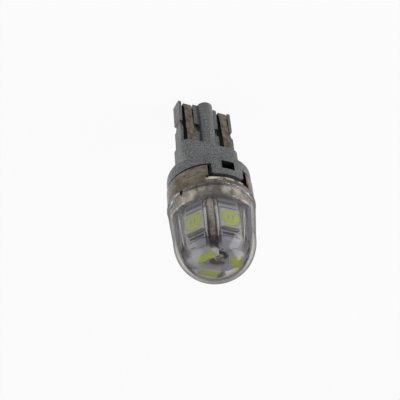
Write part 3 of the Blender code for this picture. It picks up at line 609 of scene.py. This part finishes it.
def rim_notch():
    """Tapered cutter, long enough along its azimuth to pass through the dome's wall."""
    x, y = notch_radius * math.sin(notch_azimuth), notch_radius * math.cos(notch_azimuth)
    bpy.ops.object.select_all(action="DESELECT")
    bpy.ops.mesh.primitive_cone_add(vertices=24, radius1=0.0005, radius2=0.00018, depth=0.0015)
    notch = bpy.context.object
    notch.scale = (1, 3.0, 1)
    notch.location = (x, y, dome_rim_z + 0.0001)
    notch.rotation_euler = (0, 0, -notch_azimuth)
    bpy.ops.object.transform_apply(location=True, rotation=True, scale=True)
    return notch


def dome(finish):
    """Clear cap with six ribs down its inside and a notch in its rim."""
    segments, below_rim = 160, 0.0006
    shell = turned_up(dome_section(0, dome_rim_z), segments)
    hollow = turned_up(dome_section(dome_wall, dome_rim_z - below_rim), segments)
    for i in range(side_count):
        cut(hollow, rib(math.tau * (i + 0.5) / side_count))
    cut(shell, hollow)
    cut(shell, rim_notch())
    smooth(shell, 28)
    finished(shell, "dome_clear", finish, ["dome_cap"])


def terminals(finish):
    """Soldered ends of the side LEDs."""
    width, depth, height, rounding = 0.0026, 0.0004, 0.00036, 0.00010
    past_led, off_board = 0.00022, 0.00024
    for i in range(side_count):
        azimuth = math.tau * i / side_count
        for end, z in (("upper", led_high + past_led), ("lower", led_low - past_led)):
            bpy.ops.object.select_all(action="DESELECT")
            bpy.ops.mesh.primitive_cube_add(size=1)
            bar = bpy.context.object
            bar.scale = (width, depth, height)
            bar.location = (0, board_face + off_board, z)
            bpy.ops.object.transform_apply(location=True, rotation=True, scale=True)
            bpy.ops.object.mode_set(mode="EDIT")
            bpy.ops.mesh.select_all(action="SELECT")
            bpy.ops.mesh.bevel(offset=rounding, segments=3, affect="EDGES")
            bpy.ops.object.mode_set(mode="OBJECT")
            bar.rotation_euler = (0, 0, -azimuth)
            bpy.ops.object.transform_apply(location=True, rotation=True, scale=True)
            smooth(bar)
            finished(bar, f"side_terminal_{i + 1}_{end}", finish, [])


def dress():
    """Every solid is eased and dressed, or replaced by a finer piece. The number in each call is the width
    of the rounded edges."""
    boards, package = board_mask(), led_package()
    gel, tin = phosphor(), solder()
    smooth(eased("base_housing", "housing_painted", silver_paint(), 0.00006), 14)
    plating = contact_plating()
    eased("contact_strip_left", "strip_left", plating, 0.00003)
    eased("contact_strip_right", "strip_right", plating, 0.00003)
    eased("heat_sink", "heat_sink_turned", heat_sink_metal(), 0.00004)
    dome(clear_plastic())
    for i in range(1, side_count + 1):
        eased(f"side_board_{i}", f"side_board_{i}_masked", boards, 0.00003)
        eased(f"side_led_{i}", f"side_led_{i}_moulded", package, 0.00005, True)
        eased(f"side_phosphor_{i}", f"side_phosphor_{i}_gel", gel, 0.00003)
    eased("end_board", "end_board_masked", boards, 0.00003)
    for i in range(1, end_led_count + 1):
        eased(f"end_led_{i}", f"end_led_{i}_moulded", package, 0.00005, True)
        eased(f"end_phosphor_{i}", f"end_phosphor_{i}_gel", gel, 0.00003)
    terminals(terminal_metal())
    eased("solder_joint", "solder_joint_bright", tin, 0.00002)
    eased("feed_pin", "feed_pin_wire", copper(), 0.00002)
    eased("driver_board", "driver_board_masked", driver_mask(), 0.00003)
    black = part_moulding()
    for node in ("rectifier", "driver_chip", "resistor_left", "resistor_right"):
        eased(node, f"{node}_moulded", black, 0.00005)


def studio():
    """White floor that keeps a soft shadow, a sky that looks white but lights softly, and two wide panels
    beside the bulb."""
    floor_glow, sky_light, sky_seen = 0.92, 0.34, 0.96
    bpy.ops.object.select_all(action="DESELECT")
    bpy.ops.mesh.primitive_plane_add(size=2, location=(0, 0, 0))
    floor = bpy.context.object
    floor.name = "floor"
    f = Finish("floor_white")
    rays = f.add("ShaderNodeLightPath").socket.node.outputs
    seen = Wire(f, rays["Is Camera Ray"]).most(Wire(f, rays["Is Transmission Ray"]))
    seen = seen.most(Wire(f, rays["Is Glossy Ray"]))
    white = f.add("ShaderNodeEmission", sockets={"Color": (1, 1, 1, 1), "Strength": 1.0})
    matt = f.shader(Base_Color=(0.9, 0.9, 0.9), Roughness=0.9)
    shown = {0: seen * floor_glow, 1: matt, 2: white}
    floor.data.materials.append(f.done(f.add("ShaderNodeMixShader", sockets=shown)))

    world = bpy.data.worlds.new("studio")
    bpy.context.scene.world = world
    world.use_nodes = True
    sky = world.node_tree.nodes["Background"]
    sky.inputs["Color"].default_value = (1, 1, 1, 1)
    rays = world.node_tree.nodes.new("ShaderNodeLightPath").outputs
    level = world.node_tree.nodes.new("ShaderNodeMapRange")
    level.inputs["To Min"].default_value = sky_light
    level.inputs["To Max"].default_value = sky_seen
    world.node_tree.links.new(rays["Is Camera Ray"], level.inputs["Value"])
    world.node_tree.links.new(level.outputs["Result"], sky.inputs["Strength"])

    panel("key", (-0.19, -0.13, 0.11), (0.26, 0.20), 0.32)
    panel("side", (0.20, 0.10, 0.13), (0.28, 0.22), 0.20)


def panel(name, place, size, power):
    """A flat lamp turned to the middle of the bulb."""
    middle_z = 0.016
    lamp = bpy.data.lights.new(name, "AREA")
    lamp.shape = "RECTANGLE"
    lamp.size, lamp.size_y = size
    lamp.energy = power
    made = bpy.data.objects.new(name, lamp)
    bpy.context.scene.collection.objects.link(made)
    made.location = place
    aim = made.location.copy()
    aim.z -= middle_z
    made.rotation_euler = aim.to_track_quat("Z", "Y").to_euler()


def camera():
    """The photograph's view, from in front and above, upside down."""
    place, turn = (0.04102, -0.07469, 0.08270), (-52.933, -4.075, -155.370)
    view = bpy.data.cameras.new("view")
    view.sensor_width = 36
    view.lens = 63
    view.clip_start = 0.005
    made = bpy.data.objects.new("view", view)
    bpy.context.scene.collection.objects.link(made)
    made.location = place
    made.rotation_euler = [math.radians(degrees) for degrees in turn]
    bpy.context.scene.camera = made


dress()
studio()
camera()
bpy.context.scene.view_settings.view_transform = "Standard"
